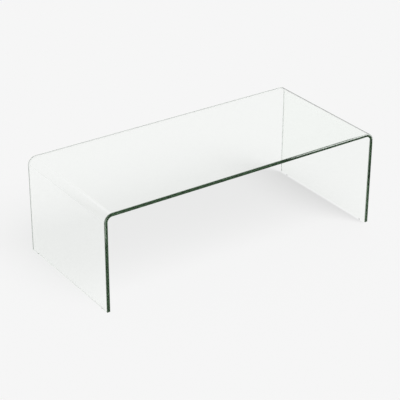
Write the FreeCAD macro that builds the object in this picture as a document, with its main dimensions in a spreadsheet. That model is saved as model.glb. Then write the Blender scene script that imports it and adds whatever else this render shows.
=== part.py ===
# Waterfall coffee table: one sheet of toughened float glass bent into a U, so that the
# level top turns down at both ends into two upright legs. The sheet stands on clear
# bumper pads, each held under a leg end by its own disc of adhesive.
#
# Frame: millimetres, +Z up, floor at Z = 0, origin at the middle of the footprint.
# X runs along the table from leg to leg, Y across the sheet, front at -Y, left at -X.
import FreeCAD, Part
import math
import os

import Sketcher
from FreeCAD import Vector

# Driving dimensions: alias, value in millimetres (degrees for an angle), meaning.
SIZES = (
    ("table_length", 1100, "overall length, outside of leg to outside of leg"),
    ("table_width", 500, "width of the sheet"),
    ("table_height", 360, "floor to the face of the top"),
    ("glass_thickness", 12, "nominal thickness of the float glass"),
    ("bend_radius", 18, "inside radius of both bends"),
    ("corner_radius", 2, "dubbed lower corners of the legs"),
    ("arris", 1, "width of the bevel polished along every edge"),
    ("pad_inset", 35, "leg's side edge to the middle of a pad"),
    ("pad_margin", 1, "flat of the leg's end left clear on each side of a pad"),
    ("pad_height", 1.5, "thickness of a bumper pad"),
    ("pad_rim", 0.4, "rounded rim of a pad where it meets the floor"),
    ("pad_draft", 6, "angle by which a pad's moulded wall narrows to the floor"),
    ("adhesive_thickness", 0.2, "thickness of the adhesive disc"),
    ("adhesive_margin", 0.3, "pad left clear outside its adhesive disc"),
)

# Expressions that several pieces share.
LEG_END = "(Sizes.pad_height + Sizes.adhesive_thickness)"
LEG_FLAT = "(Sizes.glass_thickness - 2 * Sizes.arris)"
PAD_RADIUS = f"({LEG_FLAT} / 2 - Sizes.pad_margin)"
LEG_MIDDLE_X = "(Sizes.table_length / 2 - Sizes.glass_thickness / 2)"
PAD_MIDDLE_Y = "(Sizes.table_width / 2 - Sizes.pad_inset)"

# The two legs and the two sides of the sheet, as names and signs.
LEGS = (("left", -1), ("right", 1))
SIDES = (("front", -1), ("rear", 1))

# Ends of a sketch edge, as the sketcher numbers them, and its fixed references.
START, END, CENTRE = 1, 2, 3
ORIGIN_POINT = (-1, 1)
VERTICAL_AXIS = -2

QUARTER_TURN = math.pi / 2
TINY = 1e-4


def make_sheet(doc):
    """Put the driving dimensions in a spreadsheet, one aliased cell for each."""
    sheet = doc.addObject("Spreadsheet::Sheet", "Sizes")
    for row, (alias, value, meaning) in enumerate(SIZES, start=1):
        sheet.set(f"A{row}", meaning)
        sheet.set(f"B{row}", str(value))
        sheet.setAlias(f"B{row}", alias)
    doc.recompute()
    return sheet


def new_body(doc, label):
    """A sub-part of the table; its label names its file."""
    body = doc.addObject("PartDesign::Body", label)
    body.Label = label
    return body


def origin_feature(body, role):
    return next(item for item in body.Origin.OriginFeatures if item.Role == role)


def new_sketch(body, plane_role):
    """A sketch on one of the body's own origin planes."""
    sketch = body.newObject("Sketcher::SketchObject", f"{body.Name}_sketch")
    sketch.AttachmentSupport = [(origin_feature(body, plane_role), "")]
    sketch.MapMode = "FlatFace"
    return sketch


def add_line(sketch, start, end):
    return sketch.addGeometry(Part.LineSegment(Vector(*start, 0), Vector(*end, 0)), False)


def add_arc(sketch, centre, radius, first_angle, last_angle):
    circle = Part.Circle(Vector(*centre, 0), Vector(0, 0, 1), radius)
    return sketch.addGeometry(Part.ArcOfCircle(circle, first_angle, last_angle), False)


def relate(sketch, kind, *where):
    return sketch.addConstraint(Sketcher.Constraint(kind, *where))


def drive(sketch, name, expression, kind, *where):
    """Add a dimension with a name, and bind it to the spreadsheet."""
    index = relate(sketch, kind, *where)
    sketch.renameConstraint(index, name)
    sketch.setExpression(f"Constraints.{name}", expression)


def draw_profile(sketch, sheet):
    """The U-shaped section of the bent sheet, drawn in the XZ plane.

    Each leg is drawn as an outer line, an outer arc, an inner arc, an inner line and
    the line across its end. The two arcs of a bend share one centre, so the glass
    keeps its thickness round the bend.
    """
    half_length = sheet.table_length / 2
    top = sheet.table_height
    thick = sheet.glass_thickness
    inside = sheet.bend_radius
    outside = inside + thick
    foot = sheet.pad_height + sheet.adhesive_thickness
    spring = top - outside

    face = add_line(sketch, (outside - half_length, top), (half_length - outside, top))
    under = add_line(
        sketch,
        (outside - half_length, top - thick),
        (half_length - outside, top - thick),
    )
    relate(sketch, "Horizontal", face)

    parts = {}
    for name, sign in LEGS:
        skin_x = sign * half_length
        inner_x = sign * (half_length - thick)
        centre = (sign * (half_length - outside), spring)
        turn_from = 0 if sign > 0 else QUARTER_TURN
        turn_to = turn_from + QUARTER_TURN
        # An arc runs anticlockwise, so the right bend ends at the top and the left
        # bend starts there.
        at_top, at_leg = (END, START) if sign > 0 else (START, END)

        outer_bend = add_arc(sketch, centre, outside, turn_from, turn_to)
        inner_bend = add_arc(sketch, centre, inside, turn_from, turn_to)
        outer_leg = add_line(sketch, (skin_x, spring), (skin_x, foot))
        inner_leg = add_line(sketch, (inner_x, spring), (inner_x, foot))
        leg_end = add_line(sketch, (skin_x, foot), (inner_x, foot))

        relate(sketch, "Coincident", outer_bend, CENTRE, inner_bend, CENTRE)
        top_point = END if sign > 0 else START
        relate(sketch, "Tangent", face, top_point, outer_bend, at_top)
        relate(sketch, "Tangent", under, top_point, inner_bend, at_top)
        relate(sketch, "Tangent", outer_leg, START, outer_bend, at_leg)
        relate(sketch, "Tangent", inner_leg, START, inner_bend, at_leg)
        relate(sketch, "Coincident", outer_leg, END, leg_end, START)
        relate(sketch, "Coincident", inner_leg, END, leg_end, END)
        relate(sketch, "Vertical", outer_leg)
        relate(sketch, "Vertical", inner_leg)
        relate(sketch, "Horizontal", leg_end)
        parts[name] = (outer_leg, inner_bend, leg_end)

    left_leg, left_bend, left_end = parts["left"]
    right_leg, right_bend, right_end = parts["right"]
    relate(sketch, "Symmetric", left_leg, END, right_leg, END, VERTICAL_AXIS)
    relate(sketch, "Equal", left_bend, right_bend)
    relate(sketch, "Equal", left_end, right_end)

    drive(
        sketch, "overall_length", "Sizes.table_length",
        "DistanceX", left_leg, END, right_leg, END, 2 * half_length,
    )
    drive(
        sketch, "top_height", "Sizes.table_height",
        "DistanceY", *ORIGIN_POINT, face, END, top,
    )
    drive(sketch, "leg_end_height", LEG_END, "DistanceY", *ORIGIN_POINT, right_leg, END, foot)
    drive(
        sketch, "thickness", "Sizes.glass_thickness",
        "DistanceX", right_end, END, right_end, START, thick,
    )
    drive(sketch, "inside_radius", "Sizes.bend_radius", "Radius", right_bend, inside)


def edge_names(shape, wanted):
    """Sub-element names of the edges of a shape that pass a test."""
    return [f"Edge{n}" for n, edge in enumerate(shape.Edges, start=1) if wanted(edge)]


def leg_corner_edges(shape, half_width, foot):
    """The short upright corners of the sheet's blank, where a leg's end meets its sides."""

    def at_corner(edge):
        box = edge.BoundBox
        on_side = abs(abs(box.YMin) - half_width) < TINY and box.YLength < TINY
        on_end = abs(box.ZMax - foot) < TINY
        return on_side and on_end

    return edge_names(shape, at_corner)


def rim_edges(shape):
    """The edges where the sheet's narrow rim meets its two broad skins.

    The rim is both sides of the sheet, both leg ends and the dubbed corners between
    them. Inside the rim, and inside a skin, the faces only meet along smooth seams, so
    the edges wanted are those that belong to exactly one rim face.
    """

    def is_rim(face):
        u_min, u_max, v_min, v_max = face.ParameterRange
        normal = face.normalAt((u_min + u_max) / 2, (v_min + v_max) / 2)
        faces_aside = abs(normal.y) > TINY
        at_foot = face.BoundBox.ZMin < shape.BoundBox.ZMin + TINY
        return faces_aside or (at_foot and normal.z < -TINY)

    rim = [face for face in shape.Faces if is_rim(face)]

    def meets_skin(edge):
        return sum(any(edge.isSame(side) for side in face.Edges) for face in rim) == 1

    return edge_names(shape, meets_skin)


def make_glass(doc, sheet):
    """The bent sheet: profile, width, dubbed corners, then the polished arris."""
    body = new_body(doc, "bent_glass_sheet")
    sketch = new_sketch(body, "XZ_Plane")
    draw_profile(sketch, sheet)

    blank = body.newObject("PartDesign::Pad", "sheet_width")
    blank.Profile = sketch
    blank.SideType = "Symmetric"
    blank.setExpression("Length", "Sizes.table_width")
    doc.recompute()

    corners = body.newObject("PartDesign::Fillet", "dubbed_corners")
    half_width = sheet.table_width / 2
    foot = sheet.pad_height + sheet.adhesive_thickness
    corners.Base = (blank, leg_corner_edges(blank.Shape, half_width, foot))
    corners.setExpression("Radius", "Sizes.corner_radius")
    doc.recompute()

    arris = body.newObject("PartDesign::Chamfer", "polished_arris")
    arris.Base = (corners, rim_edges(corners.Shape))
    arris.setExpression("Size", "Sizes.arris")
    body.Tip = arris
    return body


def place_under_leg(body, leg_sign, side_sign, height):
    """Put a pad or its adhesive at its place under a leg's end."""
    body.setExpression("Placement.Base.x", f"{leg_sign} * {LEG_MIDDLE_X}")
    body.setExpression("Placement.Base.y", f"{side_sign} * {PAD_MIDDLE_Y}")
    body.setExpression("Placement.Base.z", height)


def make_pad(doc, sheet, label, leg_sign, side_sign):
    """A moulded bumper: a low disc with a drafted wall and a rounded rim on the floor."""
    body = new_body(doc, label)
    sketch = new_sketch(body, "XZ_Plane")

    height = sheet.pad_height
    rim = sheet.pad_rim
    top_radius = sheet.glass_thickness / 2 - sheet.arris - sheet.pad_margin
    foot_radius = top_radius - (height - rim) * math.tan(math.radians(sheet.pad_draft))

    base = add_line(sketch, (0, 0), (foot_radius - rim, 0))
    rounding = add_arc(sketch, (foot_radius - rim, rim), rim, -QUARTER_TURN, 0)
    wall = add_line(sketch, (foot_radius, rim), (top_radius, height))
    crown = add_line(sketch, (top_radius, height), (0, height))
    axis = add_line(sketch, (0, height), (0, 0))

    relate(sketch, "Coincident", base, START, *ORIGIN_POINT)
    relate(sketch, "Tangent", base, END, rounding, START)
    relate(sketch, "Tangent", rounding, END, wall, START)
    relate(sketch, "Coincident", wall, END, crown, START)
    relate(sketch, "Coincident", crown, END, axis, START)
    relate(sketch, "Coincident", axis, END, base, START)
    relate(sketch, "Horizontal", base)
    relate(sketch, "Horizontal", crown)
    relate(sketch, "Vertical", axis)
    drive(sketch, "rim_radius", "Sizes.pad_rim", "Radius", rounding, rim)
    drive(sketch, "top_radius", PAD_RADIUS, "DistanceX", crown, END, crown, START, top_radius)
    drive(sketch, "height", "Sizes.pad_height", "DistanceY", axis, END, axis, START, height)
    drive(
        sketch, "wall_angle", "(90 - Sizes.pad_draft) * 1 deg",
        "Angle", wall, math.radians(90 - sheet.pad_draft),
    )

    turned = body.newObject("PartDesign::Revolution", f"{label}_turned")
    turned.Profile = sketch
    turned.ReferenceAxis = (sketch, ["V_Axis"])
    turned.Angle = 360
    body.Tip = turned
    place_under_leg(body, leg_sign, side_sign, "0")
    return body


def make_adhesive(doc, sheet, label, leg_sign, side_sign):
    """The thin pressure-sensitive disc between a pad and the glass."""
    body = new_body(doc, label)
    sketch = new_sketch(body, "XY_Plane")
    radius = sheet.glass_thickness / 2 - sheet.arris - sheet.pad_margin - sheet.adhesive_margin
    outline = sketch.addGeometry(Part.Circle(Vector(0, 0, 0), Vector(0, 0, 1), radius), False)
    relate(sketch, "Coincident", outline, CENTRE, *ORIGIN_POINT)
    drive(
        sketch, "disc_radius", f"{PAD_RADIUS} - Sizes.adhesive_margin",
        "Radius", outline, radius,
    )

    disc = body.newObject("PartDesign::Pad", f"{label}_disc")
    disc.Profile = sketch
    disc.setExpression("Length", "Sizes.adhesive_thickness")
    body.Tip = disc
    place_under_leg(body, leg_sign, side_sign, "Sizes.pad_height")
    return body


def check_document(doc, bodies):
    """Stop if any object failed to recompute or any sub-part has no sound solid."""
    for item in doc.Objects:
        if {"Invalid", "Error"} & set(item.State):
            raise RuntimeError(f"{item.Label} failed: {item.State}")
    for body in bodies:
        shape = body.Shape
        if shape.isNull() or not shape.isValid() or len(shape.Solids) != 1:
            raise RuntimeError(f"{body.Label} is not one valid solid")


def main():
    doc = FreeCAD.newDocument("WaterfallCoffeeTable")
    sheet = make_sheet(doc)

    bodies = [make_glass(doc, sheet)]
    for leg, leg_sign in LEGS:
        for side, side_sign in SIDES:
            corner = f"{side}_{leg}"
            bodies.append(make_pad(doc, sheet, f"floor_pad_{corner}", leg_sign, side_sign))
            bodies.append(make_adhesive(doc, sheet, f"pad_adhesive_{corner}", leg_sign, side_sign))
    doc.recompute()

    check_document(doc, bodies)
    os.makedirs("parts", exist_ok=True)
    for body in bodies:
        body.Shape.exportStep(f"parts/{body.Label}.step")
        print(f"{body.Label}: {body.Shape.Volume / 1000:.3f} cm3")


main()
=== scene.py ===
import math

import bmesh
import bpy
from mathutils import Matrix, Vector


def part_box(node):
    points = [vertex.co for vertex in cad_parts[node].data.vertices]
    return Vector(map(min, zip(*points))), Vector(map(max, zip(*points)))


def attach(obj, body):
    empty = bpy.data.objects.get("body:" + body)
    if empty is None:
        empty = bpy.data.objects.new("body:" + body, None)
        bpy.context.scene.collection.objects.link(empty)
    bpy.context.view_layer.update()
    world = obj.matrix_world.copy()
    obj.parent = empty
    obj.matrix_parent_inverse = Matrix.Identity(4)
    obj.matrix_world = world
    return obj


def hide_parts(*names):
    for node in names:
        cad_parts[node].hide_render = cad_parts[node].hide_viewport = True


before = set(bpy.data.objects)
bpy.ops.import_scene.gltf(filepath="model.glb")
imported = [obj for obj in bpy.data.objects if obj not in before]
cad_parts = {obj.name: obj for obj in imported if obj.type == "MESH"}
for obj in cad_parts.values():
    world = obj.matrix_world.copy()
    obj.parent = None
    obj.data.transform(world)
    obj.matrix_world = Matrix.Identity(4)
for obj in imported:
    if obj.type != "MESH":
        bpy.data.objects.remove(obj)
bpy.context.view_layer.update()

# ---------------------------------------------------------------- sizes, in metres
# The sheet's outside size and place come from the frame. Its other sizes are those of the CAD source.
GLASS = "bent_glass_sheet"
GLASS_LOW, GLASS_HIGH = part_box(GLASS)
THICKNESS = 0.012
INSIDE_BEND = 0.018
OUTSIDE_BEND = INSIDE_BEND + THICKNESS
ARRIS = 0.001
CORNER = 0.002

# The mesh's steps round each bend, and round each corner at the feet.
BEND_STEPS = 48
CORNER_STEPS = 6

# ---------------------------------------------------------------- camera, fitted to the photograph
CAMERA_PLACE = (-2.53097, -3.64668, 2.47766)
CAMERA_TURN = tuple(math.radians(angle) for angle in (62.2728, -0.2035, -34.4993))
CAMERA_LENS = 128.5448
CAMERA_SENSOR = 36.0

# ---------------------------------------------------------------- floor, backdrop and light
FLOOR_REACH = 40
WHITE = (0.9216, 0.9216, 0.9216, 1)

# How bright a white floor is in the light from all round alone, and in the one large light alone.
AMBIENT = 0.17
KEY = 0.83
KEY_ELEVATION = math.radians(55)
KEY_BEARING = math.radians(8)
KEY_SPREAD = math.radians(45)

# Light is followed through many crossings, because it is caught between the sheet's faces.
BOUNCES = 64
SEE_THROUGH_BOUNCES = 16

# ---------------------------------------------------------------- glass
# Each face of the mesh has one of these finishes.
SKIN, RIM, ARRIS_FACE = 0.0, 1.0, 2.0

GLASS_IOR = 1.52
GLASS_ABSORBS = (0.0, 0.3, 0.0, 1)
GLASS_DENSITY = 0.3
CLEAR = (1, 1, 1, 1)

# The broad faces are all but clear. The outer face of a bend is painted dark where it is seen at a
# slant: painted shade.
PANE_TINT = (0.985, 1.0, 0.985, 1)
BEND_GRAZING = (0.01, 0.015, 0.01, 1)
GRAZING_FROM, GRAZING_TO = 0.56, 0.80
BEND_FADE = 0.001

# The seam is the strip of a broad face beside the arris that is painted dark: painted shade for the
# dark arris seen through the glass. At the rear of the left leg it is wider.
SEAM = 0.0025
LEFT_LEG_REAR_SEAM = 0.004
SEAM_PAINTED_SHADE = (0.10, 0.13, 0.10, 1)

# The polished rim, dark green. The front rim's right part is painted darkest, painted shade: it turns
# to that between these distances from the start of the top's painted light streak. The rear rim is
# painted paler, painted light.
RIM_FRONT = (0.010, 0.024, 0.010, 1)
RIM_FRONT_RIGHT = (0.002, 0.006, 0.002, 1)
RIM_REAR = (0.055, 0.095, 0.055, 1)
RIM_SHEEN = (0.25, 0.50, 0.25, 1)
RIM_SHEEN_RIGHT = (0.05, 0.25, 0.05, 1)
DARK_RIGHT_FROM, DARK_RIGHT_TO = -0.11, -0.01
RIM_VARIES = (0.75, 1.25)

# The arris: dark on the front, and painted nearly clear at the rear, painted light. Painted light also
# brightens its outer half from a little before the right bend to a share of that bend's length.
ARRIS_FRONT = (0.02, 0.04, 0.02, 1)
ARRIS_REAR = (0.9, 0.95, 0.9, 1)
BRIGHT_END_BEFORE_BEND = 0.055
BRIGHT_END_IN_BEND = 0.6
BRIGHT_END_FADE = 0.03
BRIGHT_END_STRENGTH = 0.6

# The painted light streaks in the rim, where it is painted clear. On the front, the top's starts
# TOP_STREAK_FROM right of its middle and the left leg's LEG_STREAK_FROM above the foot, and each ends
# in the bend, at a share of the bend's length. The rear one grows from before the top's right end to
# past it, and ends above the foot.
TOP_STREAK_FROM = 0.197
TOP_STREAK_IN_BEND = 0.7
TOP_STREAK_FADE = 0.03
LEG_STREAK_FROM = 0.268
LEG_STREAK_IN_BEND = 0.3
LEG_STREAK_FADE = 0.02
STREAK_DEPTH = (0.0003, 0.0040)
STREAK_DEPTH_FADE = 0.0004
REAR_STREAK_FROM, REAR_STREAK_FULL = -0.20, 0.16
REAR_STREAK_ABOVE_FOOT = 0.05
REAR_STREAK_FADE = 0.03
REAR_STREAK_STRENGTH = 0.75

# Finish: polishing lines run lengthwise in the rim, the arris is ground satin, and the broad faces
# are fire-finished, with a faint wave and smudges.
LINES = {"scale": 1.0, "detail": 3.0, "stretch": (9, 9, 1400)}
GRAIN = {"scale": 1800.0, "detail": 2.0}
WAVE = {"scale": 5.0, "detail": 1.0}
SMUDGE = {"scale": 14.0, "detail": 4.0}
SMUDGE_EDGE = (0.45, 0.8)
SKIN_ROUGHNESS = (0.0, 0.02)
RIM_ROUGHNESS = (0.07, 0.13)
ARRIS_ROUGHNESS = (0.32, 0.48)
WAVE_DEPTH = 0.00002
LINES_DEPTH = 0.000004
GRAIN_DEPTH = 0.00003

# How much of the studio light the sheet lets by. The top holds some back at each of its two faces.
# The light grazes the legs from the right, so the right leg also shades the floor inside it. What it
# turns away falls on the floor outside it, and what the left leg turns away falls inside: there
# nothing is lost.
TOP_LETS_BY = (0.936, 0.937, 0.936, 1)
RIGHT_LEG_LETS_BY = (0.675, 0.675, 0.675, 1)

# ---------------------------------------------------------------- pads and adhesive
PAD_IOR = 1.49
PAD_TRANSMITS = 0.45
PAD_CLEAR = (0.86, 0.88, 0.87, 1)
PAD_CLOUDY = (0.77, 0.79, 0.78, 1)
PAD_SCUFFED = (0.70, 0.71, 0.69, 1)
PAD_CLOUD = {"scale": 500.0, "detail": 2.0}
PAD_GRAIN = {"scale": 9000.0, "detail": 2.0}
PAD_GRAIN_DEPTH = 0.000008
PAD_SCUFFS = {"scale": 900.0, "detail": 5.0, "stretch": (1, 4, 1)}
PAD_SCUFF_EDGE = (0.58, 0.68)
PAD_SCUFF_STRENGTH = 0.5
PAD_SCUFF_ROUGHNESS = 0.15
PAD_ROUGHNESS = (0.30, 0.45)
ADHESIVE_THIN = (0.88, 0.89, 0.87, 1)
ADHESIVE_THICK = (0.83, 0.84, 0.80, 1)
ADHESIVE_BUBBLE = (0.95, 0.95, 0.94, 1)
ADHESIVE_SMEAR = {"scale": 700.0, "detail": 3.0}
ADHESIVE_ROUGHNESS = (0.10, 0.22)
BUBBLE_SCALE = 1500.0
BUBBLE_EDGE = (0.12, 0.2)
BUBBLE_ROUGHNESS = 0.2
BUBBLE_DEPTH = 0.00002

# Nearly all of a noise's values lie in the first range, and the middle ones in the second.
NOISE_RANGE = (0.2, 0.8)
NOISE_MIDDLE = (0.3, 0.7)


# ---------------------------------------------------------------- helpers
def new_tree(owner):
    owner.use_nodes = True
    owner.node_tree.nodes.clear()
    return owner.node_tree


def feed(tree, socket, value):
    """Link value into socket if it is a socket, else set it."""
    if isinstance(value, bpy.types.NodeSocket):
        tree.links.new(value, socket)
    else:
        socket.default_value = value


def add_node(tree, kind, inputs=None, **settings):
    node = tree.nodes.new("ShaderNode" + kind)
    for name, value in settings.items():
        setattr(node, name, value)
    for name, value in (inputs or {}).items():
        feed(tree, node.inputs[name], value)
    return node


def maths(tree, operation, *values):
    return add_node(tree, "Math", dict(enumerate(values)), operation=operation).outputs[0]


def multiply(tree, first, *others):
    for other in others:
        first = maths(tree, "MULTIPLY", first, other)
    return first


def opposite(tree, value):
    return maths(tree, "SUBTRACT", 1.0, value)


def mix_numbers(tree, factor, first, second):
    return add_node(tree, "Mix", {"Factor": factor, "A": first, "B": second}).outputs[0]


def mix_colours(tree, factor, first, second, blend="MIX"):
    inputs = {"Fac": factor, "Color1": first, "Color2": second}
    return add_node(tree, "MixRGB", inputs, blend_type=blend).outputs[0]


def slope(tree, value, low, high, first=0.0, last=1.0):
    """From first to last, smoothly, as value goes from low to high."""
    inputs = {"Value": value, "From Min": low, "From Max": high, "To Min": first, "To Max": last}
    return add_node(tree, "MapRange", inputs, interpolation_type="SMOOTHSTEP").outputs[0]


def between(tree, value, low, high, fade):
    """1 where value is from low to high, and 0 beyond, with soft ends."""
    rise = slope(tree, value, low - fade, low + fade)
    fall = slope(tree, value, high - fade, high + fade, 1.0, 0.0)
    return multiply(tree, rise, fall)


def noise(tree, place, scale, detail, stretch=(1, 1, 1)):
    """Noise of 0 to 1, finer by scale along each axis of stretch."""
    scaled = add_node(tree, "VectorMath", {0: place, 1: stretch}, operation="MULTIPLY").outputs[0]
    inputs = {"Vector": scaled, "Scale": scale, "Detail": detail}
    return add_node(tree, "TexNoise", inputs).outputs["Fac"]


def spread(tree, value, low, high):
    """A noise's value, spread out from low to high."""
    return slope(tree, value, *NOISE_RANGE, low, high)


def bump(tree, height):
    return add_node(tree, "Bump", {"Height": height, "Distance": 1.0, "Strength": 1.0}).outputs[0]


def new_piece(name, mesh):
    piece = bpy.data.objects.new(name, mesh)
    bpy.context.scene.collection.objects.link(piece)
    return piece


# ---------------------------------------------------------------- the bent glass sheet
class Sheet:
    """The sheet's own coordinates: along, from the left foot round to the right foot; across, front
    to rear; depth, from the outer face inwards."""

    def __init__(self):
        self.half_length = (GLASS_HIGH.x - GLASS_LOW.x) / 2
        self.half_width = (GLASS_HIGH.y - GLASS_LOW.y) / 2
        self.leg = GLASS_HIGH.z - OUTSIDE_BEND - GLASS_LOW.z
        self.bend = math.pi / 2 * OUTSIDE_BEND
        self.bend_x = self.half_length - OUTSIDE_BEND
        self.bend_z = GLASS_HIGH.z - OUTSIDE_BEND
        self.top_start = self.leg + self.bend
        self.top_end = self.top_start + 2 * self.bend_x
        self.length = self.top_end + self.bend + self.leg

    def place(self, along, across, depth):
        """(point, outward normal) of a point in the sheet."""
        if along > self.length / 2:
            point, normal = self.place(self.length - along, across, depth)
            return Vector((-point.x, point.y, point.z)), Vector((-normal.x, normal.y, normal.z))
        if along <= self.leg:
            point = Vector((-self.half_length + depth, across, GLASS_LOW.z + along))
            return point, Vector((-1, 0, 0))
        if along < self.top_start:
            turn = (along - self.leg) / OUTSIDE_BEND
            normal = Vector((-math.cos(turn), 0, math.sin(turn)))
            centre = Vector((-self.bend_x, across, self.bend_z))
            return centre + normal * (OUTSIDE_BEND - depth), normal
        over = along - self.top_start
        return Vector((-self.bend_x + over, across, GLASS_HIGH.z - depth)), Vector((0, 0, 1))

    def stations(self):
        """Where the sheet is cut across between its corners, from foot to foot."""
        steps = [self.leg + self.bend * i / BEND_STEPS for i in range(BEND_STEPS + 1)]
        return steps + [self.length - s for s in reversed(steps)]

    def outline(self):
        """The sheet's flat outline as (along, across, outward along, outward across), anticlockwise
        from the left front corner."""
        stations = self.stations()
        rows = []
        corners = (
            (CORNER, -self.half_width + CORNER, 180),
            (self.length - CORNER, -self.half_width + CORNER, 270),
            (self.length - CORNER, self.half_width - CORNER, 0),
            (CORNER, self.half_width - CORNER, 90),
        )
        sides = ([(s, -1) for s in stations], [], [(s, 1) for s in reversed(stations)], [])
        for (along, across, start), side in zip(corners, sides):
            for i in range(CORNER_STEPS + 1):
                angle = math.radians(start + 90 * i / CORNER_STEPS)
                out = (math.cos(angle), math.sin(angle))
                rows.append((along + CORNER * out[0], across + CORNER * out[1], *out))
            rows += [(s, face * self.half_width, 0.0, float(face)) for s, face in side]
        return rows


class GlassMaker:
    """Collects the sheet's points and faces, each point with its place in the sheet."""

    def __init__(self, sheet):
        self.sheet = sheet
        self.points = []
        self.places = []
        self.faces = []
        self.normals = []
        self.finishes = []

    def ring(self, inset, depth):
        """The outline moved inwards by inset, at one depth. Gives the ring's point numbers."""
        first = len(self.points)
        for along, across, out_along, out_across in self.sheet.outline():
            place = (along - inset * out_along, across - inset * out_across, depth)
            self.points.append(self.sheet.place(*place)[0])
            self.places.append(place)
        return list(range(first, len(self.points)))

    def face(self, corners, normals, finish):
        self.faces.append(corners)
        self.normals += normals
        self.finishes.append(finish)

    def mesh(self, name):
        mesh = bpy.data.meshes.new(name)
        mesh.from_pydata(self.points, [], self.faces)
        finish = mesh.attributes.new("finish", "FLOAT", "FACE")
        finish.data.foreach_set("value", self.finishes)
        place = mesh.attributes.new("sheet_place", "FLOAT_VECTOR", "POINT")
        place.data.foreach_set("vector", [value for row in self.places for value in row])
        mesh.normals_split_custom_set(self.normals)
        return mesh


def add_edge(maker, rings):
    """The polished rim and its two arrises, all the way round the sheet."""
    sheet = maker.sheet
    outline = sheet.outline()
    count = len(outline)

    def normal_at(i, lean):
        """The edge's normal at outline point i: lean is 1 on the outer arris, -1 on the inner one."""
        along, across, out_along, out_across = outline[i]
        skin = sheet.place(along, across, 0)[1]
        ahead = Vector((skin.z, 0, -skin.x))
        return (ahead * out_along + Vector((0, out_across, 0)) + skin * lean).normalized()

    for near, far, lean, finish in ((0, 1, 1, ARRIS_FACE), (1, 2, 0, RIM), (2, 3, -1, ARRIS_FACE)):
        for i in range(count):
            j = (i + 1) % count
            corners = [rings[near][i], rings[far][i], rings[far][j], rings[near][j]]
            first, second = normal_at(i, lean), normal_at(j, lean)
            maker.face(corners, [first, first, second, second], finish)


def add_skin(maker, ring, side):
    """One broad face: a strip between the stations, and one face past the last station at each foot.
    side is 1 for the outer face and -1 for the inner one."""
    sheet = maker.sheet
    outline = sheet.outline()
    steps = len(sheet.stations()) - 1
    first_front = CORNER_STEPS + 1
    last_front = first_front + steps
    first_rear = last_front + 2 * (CORNER_STEPS + 1) + 1
    last_rear = first_rear + steps

    def add(numbers):
        order = numbers if side > 0 else list(reversed(numbers))
        normals = [sheet.place(outline[k][0], 0, 0)[1] * side for k in order]
        maker.face([ring[k] for k in order], normals, SKIN)

    for step in range(steps):
        front, rear = first_front + step, last_rear - step
        add([front, front + 1, rear - 1, rear])
    add(list(range(last_rear, len(outline))) + list(range(0, first_front + 1)))
    add(list(range(last_front, first_rear + 1)))


def build_glass(sheet):
    maker = GlassMaker(sheet)
    outer_skin = maker.ring(ARRIS, 0)
    outer_rim = maker.ring(0, ARRIS)
    inner_rim = maker.ring(0, THICKNESS - ARRIS)
    inner_skin = maker.ring(ARRIS, THICKNESS)
    add_edge(maker, (outer_skin, outer_rim, inner_rim, inner_skin))
    add_skin(maker, outer_skin, 1)
    add_skin(maker, inner_skin, -1)
    piece = new_piece("bent_glass", maker.mesh("bent_glass"))
    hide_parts(GLASS)
    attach(piece, "root")
    return piece


# ---------------------------------------------------------------- glass material
class GlassMap:
    """Sockets for where on the sheet a point is, and for the noises that the finishes share. Each
    named part is 1 there and 0 elsewhere, and from_air is 1 where light meets the face from outside."""

    def __init__(self, tree, sheet):
        self.place = add_node(tree, "Attribute", attribute_name="sheet_place").outputs["Vector"]
        axes = add_node(tree, "SeparateXYZ", {0: self.place}).outputs
        self.along, self.across, self.depth = axes["X"], axes["Y"], axes["Z"]
        finish = add_node(tree, "Attribute", attribute_name="finish").outputs["Fac"]
        self.edge = maths(tree, "GREATER_THAN", finish, (SKIN + RIM) / 2)
        self.arris = maths(tree, "GREATER_THAN", finish, (RIM + ARRIS_FACE) / 2)
        self.rear = maths(tree, "GREATER_THAN", self.across, 0.0)
        self.outer_half = maths(tree, "LESS_THAN", self.depth, THICKNESS / 2)
        self.left_leg = maths(tree, "LESS_THAN", self.along, sheet.leg)
        self.right_leg = maths(tree, "GREATER_THAN", self.along, sheet.length - sheet.leg)
        left_foot = maths(tree, "LESS_THAN", self.along, CORNER)
        self.right_foot = maths(tree, "GREATER_THAN", self.along, sheet.length - CORNER)
        self.feet = maths(tree, "MAXIMUM", left_foot, self.right_foot)
        self.from_air = opposite(tree, add_node(tree, "NewGeometry").outputs["Backfacing"])
        self.lines = noise(tree, self.place, **LINES)
        self.grain = noise(tree, self.place, **GRAIN)


def front_streaks(tree, sheet, at):
    """Where painted light shows in the front rim: the top's right part, round its bend, and the head of
    the left leg."""
    top_from = sheet.top_start + sheet.bend_x + TOP_STREAK_FROM
    top_to = sheet.top_end + TOP_STREAK_IN_BEND * sheet.bend
    top = between(tree, at.along, top_from, top_to, TOP_STREAK_FADE)
    leg_to = sheet.leg + LEG_STREAK_IN_BEND * sheet.bend
    leg = between(tree, at.along, LEG_STREAK_FROM, leg_to, LEG_STREAK_FADE)
    layer = between(tree, at.depth, *STREAK_DEPTH, STREAK_DEPTH_FADE)
    return multiply(tree, maths(tree, "MAXIMUM", top, leg), layer)


def rear_streak(tree, sheet, at):
    """Painted light: the rear rim is painted clearer at the head of the right leg."""
    leg_to = sheet.length - REAR_STREAK_ABOVE_FOOT
    rise = slope(tree, at.along, sheet.top_end + REAR_STREAK_FROM, sheet.top_end + REAR_STREAK_FULL)
    fall = slope(tree, at.along, leg_to - REAR_STREAK_FADE, leg_to + REAR_STREAK_FADE, 1.0, 0.0)
    return multiply(tree, rise, fall, REAR_STREAK_STRENGTH)


def dark_right_part(tree, sheet, at):
    """1 where the rim is painted darkest, painted shade: from a little before the top's light streak
    on, to the right foot.
    """
    streak_from = sheet.top_start + sheet.bend_x + TOP_STREAK_FROM
    return slope(tree, at.along, streak_from + DARK_RIGHT_FROM, streak_from + DARK_RIGHT_TO)


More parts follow.
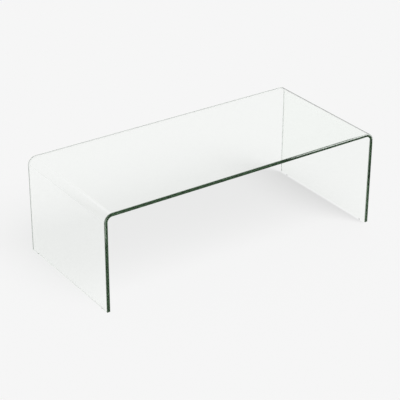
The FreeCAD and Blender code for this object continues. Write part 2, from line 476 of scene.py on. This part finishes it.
def bright_end_part(tree, sheet, at):
    """1 where the front arris is painted bright, painted light, at the right bend."""
    bright_from = sheet.top_end - BRIGHT_END_BEFORE_BEND
    bright_to = sheet.top_end + BRIGHT_END_IN_BEND * sheet.bend
    return between(tree, at.along, bright_from, bright_to, BRIGHT_END_FADE)


def rim_colour(tree, at, light, dark_right):
    # The rim is painted darker on the front's right part (painted shade) and paler at the rear (painted
    # light), and clear where light is 1: the painted light streaks, and the feet.
    green = mix_colours(tree, dark_right, RIM_FRONT, RIM_FRONT_RIGHT)
    green = mix_colours(tree, at.rear, green, RIM_REAR)
    varied = spread(tree, at.lines, *RIM_VARIES)
    varied = add_node(tree, "CombineXYZ", {0: varied, 1: varied, 2: varied}).outputs[0]
    green = mix_colours(tree, 1.0, green, varied, "MULTIPLY")
    return mix_colours(tree, light, green, CLEAR)


def arris_colour(tree, at, bright_end):
    # Painted light: the rear arris is nearly clear, and the outer half is painted bright at the right
    # bend's end. The feet's arris is clear.
    green = mix_colours(tree, at.rear, ARRIS_FRONT, ARRIS_REAR)
    light = multiply(tree, bright_end, at.outer_half, BRIGHT_END_STRENGTH)
    return mix_colours(tree, maths(tree, "MAXIMUM", at.feet, light), green, CLEAR)


def painted_seam_shade(tree, sheet, at, bright_end):
    """1 beside the arris, seen from the air, where painted shade darkens the broad face. On the front
    it fades where the arris is painted bright.
    """
    wider = multiply(tree, at.left_leg, LEFT_LEG_REAR_SEAM - SEAM)
    rear_from = maths(tree, "SUBTRACT", sheet.half_width - ARRIS - SEAM, wider)
    rear = maths(tree, "GREATER_THAN", at.across, rear_from)
    front = maths(tree, "LESS_THAN", at.across, ARRIS + SEAM - sheet.half_width)
    front = multiply(tree, front, opposite(tree, bright_end))
    return multiply(tree, maths(tree, "MAXIMUM", rear, front), at.from_air)


def skin_colour(tree, sheet, at, bright_end):
    """Clear, but with painted shade: dark in the seam and where a bend's outer face is seen at a slant.
    """
    left_bend = between(tree, at.along, sheet.leg, sheet.top_start, BEND_FADE)
    right_bend = between(tree, at.along, sheet.top_end, sheet.length - sheet.leg, BEND_FADE)
    bend = maths(tree, "MAXIMUM", left_bend, right_bend)
    facing = add_node(tree, "LayerWeight", {"Blend": 0.5}).outputs["Facing"]
    slant = slope(tree, facing, GRAZING_FROM, GRAZING_TO)
    # Painted shade where a bend's outer face is seen at a slant.
    grazing = multiply(tree, slant, bend, at.from_air, at.outer_half)
    colour = mix_colours(tree, grazing, PANE_TINT, BEND_GRAZING)
    # Painted shade in the seam beside the arris.
    return mix_colours(tree, painted_seam_shade(tree, sheet, at, bright_end), colour, SEAM_PAINTED_SHADE)


def glass_roughness(tree, at, ground):
    """ground is 1 on the arris, apart from the feet's."""
    skin = slope(tree, noise(tree, at.place, **SMUDGE), *SMUDGE_EDGE, *SKIN_ROUGHNESS)
    rim = spread(tree, at.lines, *RIM_ROUGHNESS)
    arris = spread(tree, at.grain, *ARRIS_ROUGHNESS)
    return mix_numbers(tree, ground, mix_numbers(tree, at.edge, skin, rim), arris)


def glass_height(tree, at, ground):
    """The bump, in metres."""
    skin = multiply(tree, noise(tree, at.place, **WAVE), WAVE_DEPTH)
    rim = multiply(tree, at.lines, LINES_DEPTH)
    arris = multiply(tree, at.grain, GRAIN_DEPTH)
    return mix_numbers(tree, ground, mix_numbers(tree, at.edge, skin, rim), arris)


def refracting_glass(tree, sheet, at):
    # light is where the rim is painted clear: the painted light streaks, and the feet.
    light = mix_colours(tree, at.rear, front_streaks(tree, sheet, at), rear_streak(tree, sheet, at))
    light = maths(tree, "MAXIMUM", light, at.feet)
    dark_right = dark_right_part(tree, sheet, at)
    bright_end = bright_end_part(tree, sheet, at)
    skin = skin_colour(tree, sheet, at, bright_end)
    colour = mix_colours(tree, at.edge, skin, rim_colour(tree, at, light, dark_right))
    colour = mix_colours(tree, at.arris, colour, arris_colour(tree, at, bright_end))

    sheen_colour = mix_colours(tree, dark_right, RIM_SHEEN, RIM_SHEEN_RIGHT)
    sheen = multiply(tree, at.edge, opposite(tree, light), at.from_air)
    ground = multiply(tree, at.arris, opposite(tree, at.feet))
    return add_node(tree, "BsdfPrincipled", {
        "Base Color": colour,
        "Roughness": glass_roughness(tree, at, ground),
        "IOR": GLASS_IOR,
        "Transmission Weight": 1.0,
        "Specular Tint": mix_colours(tree, sheen, CLEAR, sheen_colour),
        "Normal": bump(tree, glass_height(tree, at, ground)),
    }).outputs[0]


def straight_through(tree, at):
    """Glass that light goes straight through, less what TOP_LETS_BY and RIGHT_LEG_LETS_BY hold back."""
    inner_face = maths(tree, "GREATER_THAN", at.depth, THICKNESS - ARRIS / 2)
    from_under_top = multiply(tree, at.from_air, inner_face, opposite(tree, at.right_foot))
    leg = mix_colours(tree, from_under_top, CLEAR, RIGHT_LEG_LETS_BY)
    colour = mix_colours(tree, at.left_leg, TOP_LETS_BY, CLEAR)
    colour = mix_colours(tree, at.right_leg, colour, leg)
    return add_node(tree, "BsdfTransparent", {"Color": colour}).outputs[0]


def glass_material(sheet):
    """Shadow and bounced light go straight through the sheet. All light goes straight through the end
    of the right foot, because what is trapped there shows as a row of dark dots."""
    material = bpy.data.materials.new("float_glass")
    tree = new_tree(material)
    at = GlassMap(tree, sheet)
    path = add_node(tree, "LightPath").outputs
    straight = maths(tree, "MAXIMUM", path["Is Shadow Ray"], path["Is Diffuse Ray"])
    straight = maths(tree, "MAXIMUM", straight, at.right_foot)
    glass = refracting_glass(tree, sheet, at)
    surface = add_node(tree, "MixShader", {0: straight, 1: glass, 2: straight_through(tree, at)})
    volume = add_node(tree, "VolumeAbsorption", {"Color": GLASS_ABSORBS, "Density": GLASS_DENSITY})
    add_node(tree, "OutputMaterial", {"Surface": surface.outputs[0], "Volume": volume.outputs[0]})
    return material


# ---------------------------------------------------------------- pads and adhesive
def small_part_shader(tree, colour, roughness, height):
    """Ends a tree with the shader that the pads and their adhesive share."""
    shader = add_node(tree, "BsdfPrincipled", {
        "Base Color": colour,
        "Roughness": roughness,
        "IOR": PAD_IOR,
        "Transmission Weight": PAD_TRANSMITS,
        "Normal": bump(tree, height),
    })
    add_node(tree, "OutputMaterial", {"Surface": shader.outputs[0]})


def pad_material():
    """Clear moulded elastomer: slightly cloudy, with the mould's fine satin grain and a few scuffs."""
    material = bpy.data.materials.new("pad_elastomer")
    tree = new_tree(material)
    place = add_node(tree, "TexCoord").outputs["Object"]
    cloud = noise(tree, place, **PAD_CLOUD)
    grain = noise(tree, place, **PAD_GRAIN)
    scuffs = slope(tree, noise(tree, place, **PAD_SCUFFS), *PAD_SCUFF_EDGE)
    colour = mix_colours(tree, slope(tree, cloud, *NOISE_MIDDLE), PAD_CLOUDY, PAD_CLEAR)
    colour = mix_colours(tree, multiply(tree, scuffs, PAD_SCUFF_STRENGTH), colour, PAD_SCUFFED)
    satin = spread(tree, grain, *PAD_ROUGHNESS)
    roughness = maths(tree, "ADD", satin, multiply(tree, scuffs, PAD_SCUFF_ROUGHNESS))
    small_part_shader(tree, colour, roughness, multiply(tree, grain, PAD_GRAIN_DEPTH))
    return material


def adhesive_material():
    """Clear acrylic adhesive, with small air bubbles that the pad has trapped."""
    material = bpy.data.materials.new("pad_adhesive")
    tree = new_tree(material)
    place = add_node(tree, "TexCoord").outputs["Object"]
    cells = add_node(tree, "TexVoronoi", {"Vector": place, "Scale": BUBBLE_SCALE}).outputs["Distance"]
    bubble = slope(tree, cells, *BUBBLE_EDGE, 1.0, 0.0)
    smear = noise(tree, place, **ADHESIVE_SMEAR)
    colour = mix_colours(tree, slope(tree, smear, *NOISE_MIDDLE), ADHESIVE_THIN, ADHESIVE_THICK)
    colour = mix_colours(tree, bubble, colour, ADHESIVE_BUBBLE)
    gloss = spread(tree, smear, *ADHESIVE_ROUGHNESS)
    roughness = maths(tree, "ADD", gloss, multiply(tree, bubble, BUBBLE_ROUGHNESS))
    small_part_shader(tree, colour, roughness, multiply(tree, bubble, BUBBLE_DEPTH))
    return material


def finish_pads():
    elastomer = pad_material()
    adhesive = adhesive_material()
    for name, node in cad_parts.items():
        if name.startswith("floor_pad"):
            node.material_slots[0].material = elastomer
        if name.startswith("pad_adhesive"):
            node.material_slots[0].material = adhesive


# ---------------------------------------------------------------- stage
def build_floor():
    maker = bmesh.new()
    bmesh.ops.create_grid(maker, x_segments=1, y_segments=1, size=FLOOR_REACH)
    mesh = bpy.data.meshes.new("floor")
    maker.to_mesh(mesh)
    maker.free()
    floor = new_piece("floor", mesh)
    material = bpy.data.materials.new("floor_white")
    tree = new_tree(material)
    shader = add_node(tree, "BsdfDiffuse", {"Color": WHITE})
    add_node(tree, "OutputMaterial", {"Surface": shader.outputs[0]})
    mesh.materials.append(material)


def build_world():
    """The backdrop that is seen, directly and in or through the glass, and the soft light from it."""
    world = bpy.data.worlds.new("studio")
    bpy.context.scene.world = world
    tree = new_tree(world)
    seen = add_node(tree, "Background", {"Color": WHITE, "Strength": 1.0})
    light = add_node(tree, "Background", {"Color": (1, 1, 1, 1), "Strength": AMBIENT})
    path = add_node(tree, "LightPath").outputs
    shown = maths(tree, "MAXIMUM", path["Is Camera Ray"], path["Is Glossy Ray"])
    shown = maths(tree, "MAXIMUM", shown, path["Is Transmission Ray"])
    both = add_node(tree, "MixShader", {0: shown, 1: light.outputs[0], 2: seen.outputs[0]})
    add_node(tree, "OutputWorld", {"Surface": both.outputs[0]})


def build_key():
    """One large soft light, which isn't seen in or through the glass."""
    data = bpy.data.lights.new("key", "SUN")
    data.angle = KEY_SPREAD
    data.energy = KEY * math.pi / math.sin(KEY_ELEVATION)
    key = bpy.data.objects.new("key", data)
    bpy.context.scene.collection.objects.link(key)
    flat = math.cos(KEY_ELEVATION)
    sideways, forwards = flat * math.sin(KEY_BEARING), -flat * math.cos(KEY_BEARING)
    towards = Vector((sideways, forwards, math.sin(KEY_ELEVATION)))
    key.rotation_euler = towards.to_track_quat("Z", "Y").to_euler()
    key.visible_glossy = False
    key.visible_transmission = False


def build_camera():
    data = bpy.data.cameras.new("camera")
    data.sensor_width = CAMERA_SENSOR
    data.lens = CAMERA_LENS
    camera = bpy.data.objects.new("camera", data)
    bpy.context.scene.collection.objects.link(camera)
    camera.location = CAMERA_PLACE
    camera.rotation_euler = CAMERA_TURN
    bpy.context.scene.camera = camera


scene = bpy.context.scene
scene.view_settings.view_transform = "Standard"
scene.cycles.max_bounces = BOUNCES
scene.cycles.glossy_bounces = BOUNCES
scene.cycles.transmission_bounces = BOUNCES
scene.cycles.transparent_max_bounces = SEE_THROUGH_BOUNCES

build_camera()
build_world()
build_key()
build_floor()
sheet = Sheet()
glass = build_glass(sheet)
glass.data.materials.append(glass_material(sheet))
finish_pads()
